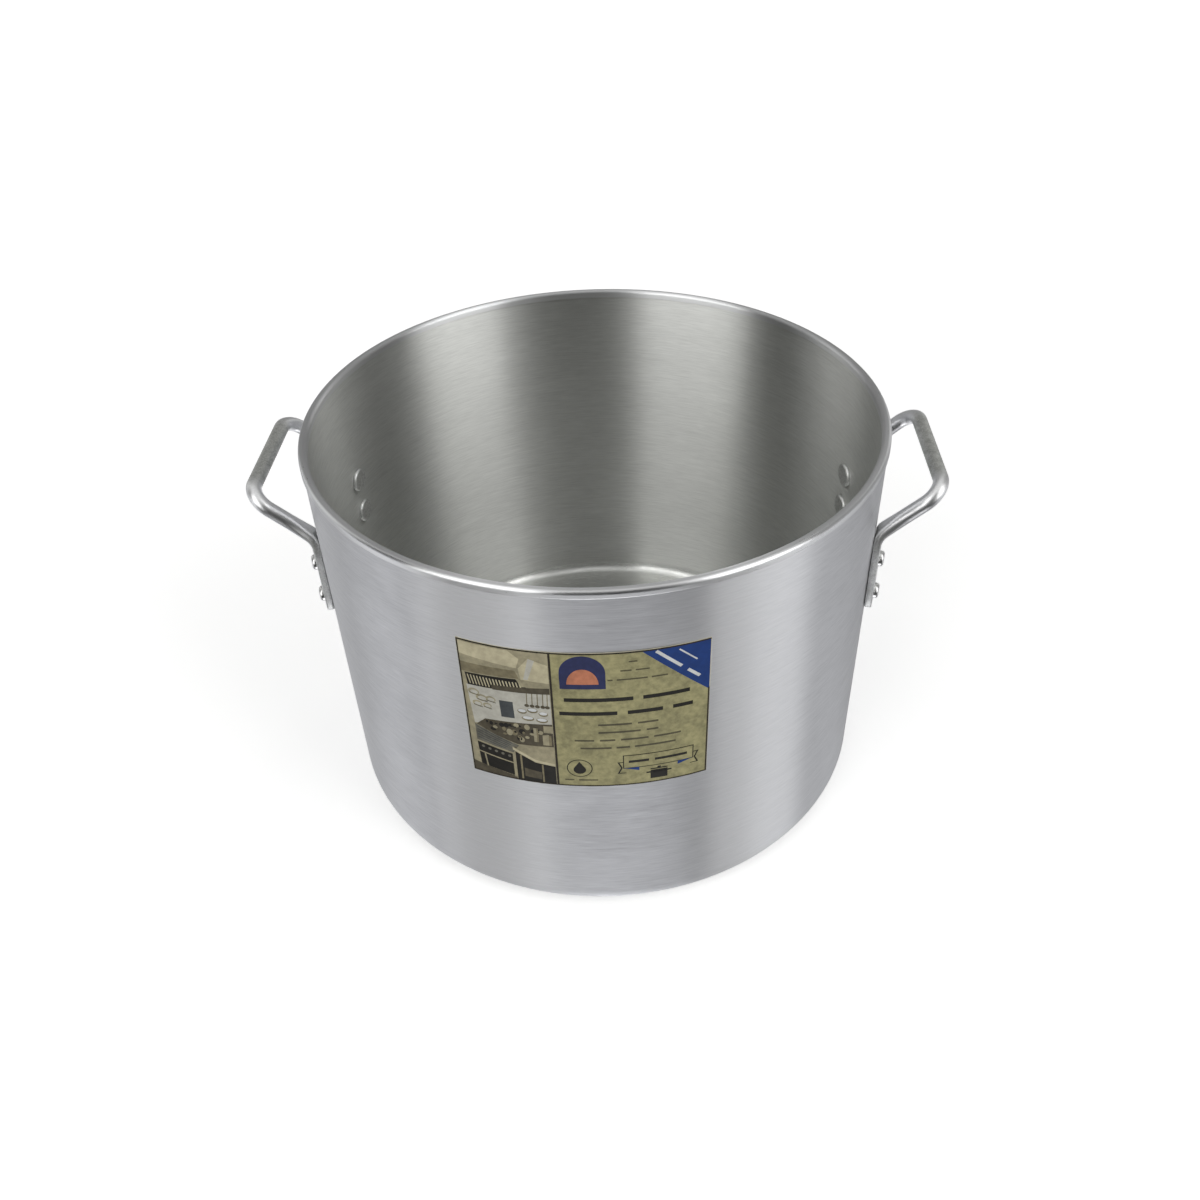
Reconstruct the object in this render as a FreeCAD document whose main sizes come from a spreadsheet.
import FreeCAD, Part
import math
import os
import Sketcher

# A 26 quart aluminium stock pot. The frame is in millimetres: the origin is the centre of the base's
# underside, +Z points up through the mouth, and the two handles stand on the +X and -X sides.

SIZES = [
    # The drawn shell: a slightly tapered wall, so the base is a little narrower than the mouth.
    ("PotHeight", 258.0),
    ("RimDiameter", 362.0),
    ("WallTopDiameter", 360.0),
    ("WallBaseDiameter", 355.0),
    ("WallThickness", 4.0),
    ("BaseCornerRadius", 13.0),
    # The rim: the edge of the wall thickened into a rounded bead.
    ("BeadHeight", 5.0),
    ("BeadWidth", 5.5),
    ("BeadRound", 2.1),
    ("BeadUnderRound", 0.9),
    ("BeadInnerRound", 0.3),
    # The handles: a bent round bar whose ends run into flat tabs against the wall.
    ("BarDiameter", 9.5),
    ("GripReach", 210.4),
    ("GripDrop", 29.7),
    ("GripHalfLength", 48.3),
    ("BendRadius", 14.0),
    ("NeckDrop", 63.2),
    ("NeckSink", 0.8),
    ("NeckRadius", 17.0),
    ("NeckRun", 4.0),
    ("TabAngle", 15.4),
    ("TabWidth", 19.0),
    ("TabThickness", 4.5),
    ("TabStock", 6.0),
    ("TabTopDrop", 61.5),
    ("TabBottomDrop", 117.0),
    ("ShoulderRound", 6.0),
    ("TabEndRound", 9.3),
    ("TabEdgeRound", 1.0),
    # The rivets: two in each tab, one above the other.
    ("UpperRivetDrop", 79.0),
    ("RivetPitch", 25.4),
    ("RivetHoleDiameter", 4.9),
    ("ShankDiameter", 4.8),
    ("InnerHeadDiameter", 16.0),
    ("InnerHeadHeight", 1.9),
    ("InnerHeadRound", 1.5),
    ("OuterHeadDiameter", 10.2),
    ("OuterHeadHeight", 3.0),
    ("OuterHeadRound", 2.2),
    ("SeatGap", 0.1),
    # The label: a thin paper sheet stuck on the front of the wall.
    ("LabelWidth", 140.0),
    ("LabelBottom", 113.0),
    ("LabelTop", 216.5),
    ("LabelTurn", -0.5),
    ("LabelThickness", 0.2),
    ("GlueGap", 0.05),
]

TOLERANCE = 1e-4
SIDES = {"right": 0.0, "left": 180.0}
ENDS = {"front": -1.0, "back": 1.0}
LEVELS = {"upper": 0.0, "lower": 1.0}


def make_sheet(doc):
    """Write every driving size to the sheet and give its cell a name."""
    sheet = doc.addObject("Spreadsheet::Sheet", "Sizes")
    for row, (alias, number) in enumerate(SIZES, start=1):
        sheet.set(f"A{row}", alias)
        sheet.set(f"B{row}", str(number))
        sheet.setAlias(f"B{row}", alias)
    doc.recompute()
    return {alias: sheet.get(alias) for alias, _ in SIZES}


def wall_radius_at(height):
    """Expression for the outer radius of the tapered wall at a height, itself an expression."""
    return (f"Sizes.WallBaseDiameter / 2 + (Sizes.WallTopDiameter - Sizes.WallBaseDiameter) / 2"
            f" * ({height}) / Sizes.PotHeight")


def new_body(doc, label):
    """A PartDesign body, whose label is also the name of its STEP file."""
    body = doc.addObject("PartDesign::Body", label)
    body.Label = label
    return body


def origin_plane(body, role):
    """One of the three planes of the body's own origin."""
    return next(item for item in body.Origin.OriginFeatures if item.Role == role)


def new_sketch(body, name, role, offset=None):
    """A sketch on one of the body's own origin planes, moved from it by the offset."""
    sketch = body.newObject("Sketcher::SketchObject", name)
    sketch.AttachmentSupport = [(origin_plane(body, role), "")]
    sketch.MapMode = "FlatFace"
    if offset is not None:
        sketch.AttachmentOffset = offset
    return sketch


def bind(sketch, kind, *where, size):
    """Add one dimension to a sketch and bind it to an expression of the sheet."""
    start = float(sketch.evalExpression(size))
    number = sketch.addConstraint(Sketcher.Constraint(kind, *where, start))
    sketch.setExpression(f"Constraints[{number}]", size)


def draw_polygon(sketch, corners):
    """Close a polygon, each corner given as a pair of expressions ("0" puts it on an axis)."""
    places = [[float(sketch.evalExpression(part)) for part in corner] for corner in corners]
    points = [FreeCAD.Vector(x, y, 0) for x, y in places]
    for start, end in zip(points, points[1:] + points[:1]):
        sketch.addGeometry(Part.LineSegment(start, end))
    last = len(corners) - 1
    for index, (x, y) in enumerate(corners):
        previous = index - 1 if index else last
        sketch.addConstraint(Sketcher.Constraint("Coincident", previous, 2, index, 1))
        for kind, axis, part in (("DistanceX", -2, x), ("DistanceY", -1, y)):
            if part == "0":
                sketch.addConstraint(Sketcher.Constraint("PointOnObject", index, 1, axis))
            else:
                bind(sketch, kind, -1, 1, index, 1, size=part)


def draw_circles(sketch, centres, diameter):
    """Circles of one diameter, each centre given as a pair of expressions."""
    for index, (x, y) in enumerate(centres):
        place = [float(sketch.evalExpression(part)) for part in (x, y)]
        radius = float(sketch.evalExpression(diameter)) / 2
        sketch.addGeometry(Part.Circle(FreeCAD.Vector(*place, 0), FreeCAD.Vector(0, 0, 1), radius))
        bind(sketch, "Diameter", index, size=diameter)
        for kind, axis, part in (("DistanceX", -2, x), ("DistanceY", -1, y)):
            if part == "0":
                sketch.addConstraint(Sketcher.Constraint("PointOnObject", index, 3, axis))
            else:
                bind(sketch, kind, -1, 1, index, 3, size=part)


def circle_names(shape, radius, along, axis):
    """Names of a turned shape's circular edges with this radius at this place along its axis."""
    names = []
    for number, edge in enumerate(shape.Edges, start=1):
        if not isinstance(edge.Curve, Part.Circle):
            continue
        same_radius = abs(edge.Curve.Radius - radius) < TOLERANCE
        if same_radius and abs(edge.Curve.Center.dot(axis) - along) < TOLERANCE:
            names.append(f"Edge{number}")
    return names


def round_circle(body, base, radius, along, axis, size, name):
    """Fillet one circular edge of a turned body."""
    body.Document.recompute()
    fillet = body.newObject("PartDesign::Fillet", name)
    fillet.Base = (base, circle_names(base.Shape, radius, along, axis))
    fillet.setExpression("Radius", size)
    return fillet


def revolve(body, sketch, axis):
    """Turn a sketch right round one of its own axes."""
    turned = body.newObject("PartDesign::Revolution", "turned")
    turned.Profile = sketch
    turned.ReferenceAxis = (sketch, [axis])
    turned.Angle = 360
    return turned


def radial_frame(angle):
    """A plane through the pot's axis whose normal points out at this angle from +X."""
    turn = FreeCAD.Rotation(FreeCAD.Vector(0, 0, 1), angle)
    across = turn.multVec(FreeCAD.Vector(0, 1, 0))
    upward = FreeCAD.Vector(0, 0, 1)
    outward = turn.multVec(FreeCAD.Vector(1, 0, 0))
    return FreeCAD.Placement(FreeCAD.Vector(), FreeCAD.Rotation(across, upward, outward, "ZXY"))


def rivet_height(level):
    """Expression for a rivet's height above the base."""
    return f"Sizes.PotHeight - Sizes.UpperRivetDrop - Sizes.RivetPitch * {level}"


def drill_rivet_holes(body, angle, name):
    """Both rivet holes of the tab at this angle, and of the tab right across the pot."""
    sketch = new_sketch(body, f"{name}_sketch", "XY_Plane", radial_frame(angle))
    draw_circles(sketch, [("0", rivet_height(level)) for level in LEVELS.values()],
                 "Sizes.RivetHoleDiameter")
    pocket = body.newObject("PartDesign::Pocket", name)
    pocket.Profile = sketch
    pocket.SideType = "Symmetric"
    pocket.Type = "ThroughAll"
    return pocket


def make_pot_body(doc, size):
    """The drawn shell: floor, rounded base corner, tapered wall, thickened rim and rivet holes."""
    body = new_body(doc, "pot_body")
    bead_outside = "Sizes.RimDiameter / 2"
    bead_inside = "Sizes.RimDiameter / 2 - Sizes.BeadWidth"
    bead_bottom = "Sizes.PotHeight - Sizes.BeadHeight"
    wall_under_bead = wall_radius_at(bead_bottom)
    wall_at_floor = wall_radius_at("Sizes.WallThickness")
    profile = new_sketch(body, "pot_profile", "XZ_Plane")
    draw_polygon(profile, [
        ("0", "0"),
        ("Sizes.WallBaseDiameter / 2", "0"),
        (wall_under_bead, bead_bottom),
        (bead_outside, bead_bottom),
        (bead_outside, "Sizes.PotHeight"),
        (bead_inside, "Sizes.PotHeight"),
        (bead_inside, bead_bottom),
        (f"{wall_under_bead} - Sizes.WallThickness", bead_bottom),
        (f"{wall_at_floor} - Sizes.WallThickness", "Sizes.WallThickness"),
        ("0", "Sizes.WallThickness"),
    ])
    shell = revolve(body, profile, "V_Axis")

    up = FreeCAD.Vector(0, 0, 1)
    outside = size["RimDiameter"] / 2
    inside = outside - size["BeadWidth"]
    below_bead = size["PotHeight"] - size["BeadHeight"]
    inner_floor_edge = float(profile.evalExpression(f"{wall_at_floor} - Sizes.WallThickness"))
    rounds = [
        ("base_outer", size["WallBaseDiameter"] / 2, 0, "Sizes.BaseCornerRadius"),
        ("base_inner", inner_floor_edge, size["WallThickness"],
         "Sizes.BaseCornerRadius - Sizes.WallThickness"),
        ("rim_outer", outside, size["PotHeight"], "Sizes.BeadRound"),
        ("rim_inner", inside, size["PotHeight"], "Sizes.BeadRound"),
        ("bead_lower", outside, below_bead, "Sizes.BeadUnderRound"),
        ("bead_inner_lower", inside, below_bead, "Sizes.BeadInnerRound"),
    ]
    last = shell
    for name, radius, along, amount in rounds:
        last = round_circle(body, last, radius, along, up, amount, name)

    doc.recompute()
    holes = drill_rivet_holes(body, size["TabAngle"], "rivet_holes")
    doc.recompute()
    mirrored = body.newObject("PartDesign::Mirrored", "mirrored_holes")
    mirrored.Originals = [holes]
    mirrored.MirrorPlane = (origin_plane(body, "XZ_Plane"), [""])
    body.Tip = mirrored
    doc.recompute()
    return body


def handle_frame(size):
    """Points and directions of the +Y half of the handle that stands on the +X side."""
    up = FreeCAD.Vector(0, 0, 1)
    angle = math.radians(size["TabAngle"])
    radial = FreeCAD.Vector(math.cos(angle), math.sin(angle), 0)
    across = FreeCAD.Vector(-math.sin(angle), math.cos(angle), 0)
    taper = math.atan2(size["WallTopDiameter"] - size["WallBaseDiameter"], 2 * size["PotHeight"])
    down = -(up * math.cos(taper)) - radial * math.sin(taper)

    def beside_wall(drop, gap):
        """A point on the tab's middle line, this far below the rim and this far out of the wall."""
        height = size["PotHeight"] - drop
        wall = size["WallBaseDiameter"] / 2 + math.tan(taper) * height
        return radial * (wall + gap) + up * height

    neck = beside_wall(size["NeckDrop"], -size["NeckSink"])
    corner = FreeCAD.Vector(size["GripReach"], size["GripHalfLength"], size["PotHeight"] - size["GripDrop"])
    arm = (neck - corner).normalize()
    turn = math.acos(arm.dot(down))
    return {
        "corner": corner,
        "arm": arm,
        "down": down,
        "across": across,
        "turn": turn,
        "arm_end": neck - arm * (size["NeckRadius"] * math.tan(turn / 2)),
        "tab_top": beside_wall(size["TabTopDrop"], size["TabThickness"]),
    }


def draw_bend(path, radius, turn):
    """An arc that leaves the sketch's X axis at its end and turns towards +Y."""
    start = path.Geometry[-1].EndPoint if path.Geometry else FreeCAD.Vector()
    circle = Part.Circle(start + FreeCAD.Vector(0, radius, 0), FreeCAD.Vector(0, 0, 1), radius)
    path.addGeometry(Part.ArcOfCircle(circle, -math.pi / 2, turn - math.pi / 2))


def add_bar(body, frame):
    """Half of the round bar: from the middle of the grip, round the bend and down the arm."""
    along_grip = FreeCAD.Vector(0, 1, 0)
    fall = FreeCAD.Vector(frame["arm"].x, 0, frame["arm"].z).normalize()
    middle = FreeCAD.Vector(frame["corner"].x, 0, frame["corner"].z)
    rotation = FreeCAD.Rotation(along_grip, fall, along_grip.cross(fall), "ZXY")
    path = new_sketch(body, "bar_path", "XY_Plane", FreeCAD.Placement(middle, rotation))
    end = frame["arm_end"] - middle
    end = FreeCAD.Vector(end.dot(along_grip), end.dot(fall), 0)
    half_length = float(path.evalExpression("Sizes.GripHalfLength"))
    radius = float(path.evalExpression("Sizes.BendRadius"))
    turn = math.atan2(end.y, end.x - half_length)
    trim = radius * math.tan(turn / 2)
    arm_start = FreeCAD.Vector(half_length + trim * math.cos(turn), trim * math.sin(turn), 0)
    path.addGeometry(Part.LineSegment(FreeCAD.Vector(), FreeCAD.Vector(half_length - trim, 0, 0)))
    draw_bend(path, radius, turn)
    path.addGeometry(Part.LineSegment(arm_start, end))
    path.addConstraint(Sketcher.Constraint("Coincident", 0, 1, -1, 1))
    path.addConstraint(Sketcher.Constraint("Horizontal", 0))
    path.addConstraint(Sketcher.Constraint("Tangent", 0, 2, 1, 1))
    path.addConstraint(Sketcher.Constraint("Tangent", 1, 2, 2, 1))
    path.addConstraint(Sketcher.Constraint("DistanceX", -1, 1, 2, 2, end.x))
    path.addConstraint(Sketcher.Constraint("DistanceY", -1, 1, 2, 2, end.y))
    path.addConstraint(Sketcher.Constraint("Angle", 2, turn))
    bind(path, "Radius", 1, size="Sizes.BendRadius")

    section = new_sketch(body, "bar_section", "XZ_Plane")
    draw_circles(section, [("Sizes.GripReach", "Sizes.PotHeight - Sizes.GripDrop")],
                 "Sizes.BarDiameter")
    body.Document.recompute()
    bar = body.newObject("PartDesign::AdditivePipe", "bar")
    bar.Profile = section
    bar.Spine = (path, ["Edge1", "Edge2", "Edge3"])
    body.Document.recompute()


def add_neck(body, frame):
    """The stretch where the bar turns down the wall and runs into the flat tab."""
    arm = frame["arm"]
    turn = frame["turn"]
    sideways = (frame["down"] - arm * math.cos(turn)).normalize()
    normal = arm.cross(sideways)
    along = FreeCAD.Rotation(arm, sideways, normal, "ZXY")
    path = new_sketch(body, "neck_path", "XY_Plane", FreeCAD.Placement(frame["arm_end"], along))
    radius = float(path.evalExpression("Sizes.NeckRadius"))
    draw_bend(path, radius, turn)
    arc_end = path.Geometry[0].EndPoint
    run = float(path.evalExpression("Sizes.NeckRun"))
    line_end = arc_end + FreeCAD.Vector(math.cos(turn), math.sin(turn), 0) * run
    path.addGeometry(Part.LineSegment(arc_end, line_end))
    path.addConstraint(Sketcher.Constraint("Coincident", 0, 1, -1, 1))
    path.addConstraint(Sketcher.Constraint("PointOnObject", 0, 3, -2))
    path.addConstraint(Sketcher.Constraint("Tangent", 0, 2, 1, 1))
    path.addConstraint(Sketcher.Constraint("Angle", 1, turn))
    bind(path, "Radius", 0, size="Sizes.NeckRadius")
    bind(path, "Distance", 1, size="Sizes.NeckRun")

    across = FreeCAD.Rotation(sideways, normal, arm, "ZXY")
    section = new_sketch(body, "neck_section", "XY_Plane",
                         FreeCAD.Placement(frame["arm_end"], across))
    draw_circles(section, [("0", "0")], "Sizes.BarDiameter")
    body.Document.recompute()
    neck = body.newObject("PartDesign::AdditivePipe", "neck")
    neck.Profile = section
    neck.Spine = (path, ["Edge1", "Edge2"])
    body.Document.recompute()


def round_edges(body, base, name, size, wanted):
    """Fillet the edges of a feature that pass a test."""
    fillet = body.newObject("PartDesign::Fillet", name)
    names = [f"Edge{number}" for number, edge in enumerate(base.Shape.Edges, start=1) if wanted(edge)]
    fillet.Base = (base, names)
    fillet.setExpression("Radius", size)
    body.Document.recompute()
    return fillet


def add_tab(body, frame):
    """The flat tab: a plate with rounded shoulders, a half-round lower end and soft front edges."""
    across = frame["across"]
    down = frame["down"]
    inward = across.cross(down)
    top = frame["tab_top"]
    length = "Sizes.TabBottomDrop - Sizes.TabTopDrop"
    outline = new_sketch(body, "tab_outline", "XY_Plane",
                         FreeCAD.Placement(top, FreeCAD.Rotation(across, down, inward, "ZXY")))
    draw_polygon(outline, [
        ("-Sizes.TabWidth / 2", "0"),
        ("Sizes.TabWidth / 2", "0"),
        ("Sizes.TabWidth / 2", length),
        ("-Sizes.TabWidth / 2", length),
    ])
    body.Document.recompute()
    plate = body.newObject("PartDesign::Pad", "tab")
    plate.Profile = outline
    plate.setExpression("Length", "Sizes.TabStock")
    body.Document.recompute()

    half_length = float(outline.evalExpression(length)) / 2

    def is_corner(edge, lower):
        direction = (edge.Vertexes[1].Point - edge.Vertexes[0].Point).normalize()
        below_middle = (edge.CenterOfMass - top).dot(down) > half_length
        return abs(direction.dot(inward)) > 1 - TOLERANCE and below_middle == lower

    def is_on_front(edge):
        return abs((edge.CenterOfMass - top).dot(inward)) < TOLERANCE

    end = round_edges(body, plate, "tab_end", "Sizes.TabEndRound", lambda edge: is_corner(edge, True))
    shoulders = round_edges(body, end, "tab_shoulders", "Sizes.ShoulderRound",
                            lambda edge: is_corner(edge, False))
    round_edges(body, shoulders, "tab_edge", "Sizes.TabEdgeRound", is_on_front)


def make_handle(doc, size, side, turn):
    """One handle, built on the +X side as a half and its mirror image, then turned to its side."""
    body = new_body(doc, f"handle_{side}")
    frame = handle_frame(size)
    add_tab(body, frame)
    add_neck(body, frame)
    add_bar(body, frame)

    inside = new_sketch(body, "wall_profile", "XZ_Plane")
    draw_polygon(inside, [
        ("0", "0"),
        ("Sizes.WallBaseDiameter / 2", "0"),
        ("Sizes.WallTopDiameter / 2", "Sizes.PotHeight"),
        ("0", "Sizes.PotHeight"),
    ])
    groove = body.newObject("PartDesign::Groove", "wall_cut")
    groove.Profile = inside
    groove.ReferenceAxis = (inside, ["V_Axis"])
    groove.Angle = 360
    doc.recompute()

    drill_rivet_holes(body, size["TabAngle"], "rivet_holes")
    doc.recompute()
    mirrored = body.newObject("PartDesign::Mirrored", "both_ends")
    mirrored.TransformMode = "Whole shape"
    mirrored.MirrorPlane = (origin_plane(body, "XZ_Plane"), [""])
    body.Tip = mirrored
    body.Placement = FreeCAD.Placement(FreeCAD.Vector(), FreeCAD.Rotation(FreeCAD.Vector(0, 0, 1), turn))
    doc.recompute()
    return body


def make_rivet(doc, size, label, angle, level):
    """One rivet: wide head inside the pot, shank through wall and tab, upset head outside."""
    body = new_body(doc, label)
    wall = f"({wall_radius_at(rivet_height(level))})"
    inner_radius = "Sizes.InnerHeadDiameter / 2"
    outer_radius = "Sizes.OuterHeadDiameter / 2"
    shank_radius = "Sizes.ShankDiameter / 2"
    # A flat head touches the hollow side of the wall at its edge, so it seats a little inside of it.
    inner_seat = (f"sqrt(({wall} - Sizes.WallThickness)^2 - ({inner_radius})^2) - Sizes.SeatGap")
    outer_seat = f"{wall} + Sizes.TabThickness + Sizes.SeatGap"
    inner_face = f"{inner_seat} - Sizes.InnerHeadHeight"
    outer_face = f"{outer_seat} + Sizes.OuterHeadHeight"
    profile = new_sketch(body, "rivet_profile", "XZ_Plane")
    draw_polygon(profile, [
        (inner_face, "0"),
        (inner_face, inner_radius),
        (inner_seat, inner_radius),
        (inner_seat, shank_radius),
        (outer_seat, shank_radius),
        (outer_seat, outer_radius),
        (outer_face, outer_radius),
        (outer_face, "0"),
    ])
    last = revolve(body, profile, "H_Axis")
    outward = FreeCAD.Vector(1, 0, 0)
    heads = [
        ("inner_head", size["InnerHeadDiameter"] / 2, inner_face, "Sizes.InnerHeadRound"),
        ("outer_head", size["OuterHeadDiameter"] / 2, outer_face, "Sizes.OuterHeadRound"),
    ]
    for name, radius, face, amount in heads:
        along = float(profile.evalExpression(face))
        last = round_circle(body, last, radius, along, outward, amount, name)
    body.Tip = last
    body.Placement.Rotation = FreeCAD.Rotation(FreeCAD.Vector(0, 0, 1), angle)
    body.setExpression(".Placement.Base.z", rivet_height(level))
    doc.recompute()
    return body


def make_label(doc):
    """The paper label: a thin sheet round the front of the wall, following its taper."""
    body = new_body(doc, "label")
    corners = []
    for height in ("Sizes.LabelBottom", "Sizes.LabelTop"):
        back = f"{wall_radius_at(height)} + Sizes.GlueGap"
        corners.append(((back, height), (f"{back} + Sizes.LabelThickness", height)))
    (low_back, low_front), (high_back, high_front) = corners
    profile = new_sketch(body, "label_profile", "XZ_Plane")
    draw_polygon(profile, [low_back, low_front, high_front, high_back])
    sheet = revolve(body, profile, "V_Axis")
    middle = wall_radius_at("(Sizes.LabelBottom + Sizes.LabelTop) / 2")
    sheet.setExpression("Angle", f"Sizes.LabelWidth / ({middle}) * 180 / pi")
    sheet.Midplane = True
    body.Tip = sheet
    body.setExpression(".Placement.Rotation.Angle", "Sizes.LabelTurn - 90")
    doc.recompute()
    return body


def check_document(doc, parts):
    """Stop on any failed feature and on any piece that isn't one valid solid."""
    for item in doc.Objects:
        if "Invalid" in item.State or "Error" in item.State:
            raise RuntimeError(f"{item.Label} failed: {item.State}")
    for part in parts:
        shape = part.Shape
        if shape.isNull() or not shape.isValid() or len(shape.Solids) != 1:
            raise RuntimeError(f"{part.Label} isn't one valid solid")


def main():
    doc = FreeCAD.newDocument("StockPot")
    size = make_sheet(doc)
    parts = [make_pot_body(doc, size)]
    for side, turn in SIDES.items():
        parts.append(make_handle(doc, size, side, turn))
        for end, towards in ENDS.items():
            # Turning a handle to the other side swaps its ends, so the angle is turned back.
            angle = turn + size["TabAngle"] * towards * math.cos(math.radians(turn))
            for level_name, level in LEVELS.items():
                label = f"rivet_{side}_{end}_{level_name}"
                parts.append(make_rivet(doc, size, label, angle, level))
    parts.append(make_label(doc))
    doc.recompute()
    check_document(doc, parts)
    os.makedirs("parts", exist_ok=True)
    for part in parts:
        part.Shape.exportStep(f"parts/{part.Label}.step")
        box = part.Shape.BoundBox
        print(f"{part.Label:28s} {part.Shape.Volume / 1000:9.3f} cm3"
              f"  x {box.XMin:8.2f} {box.XMax:8.2f}  y {box.YMin:8.2f} {box.YMax:8.2f}"
              f"  z {box.ZMin:8.2f} {box.ZMax:8.2f}")


main()
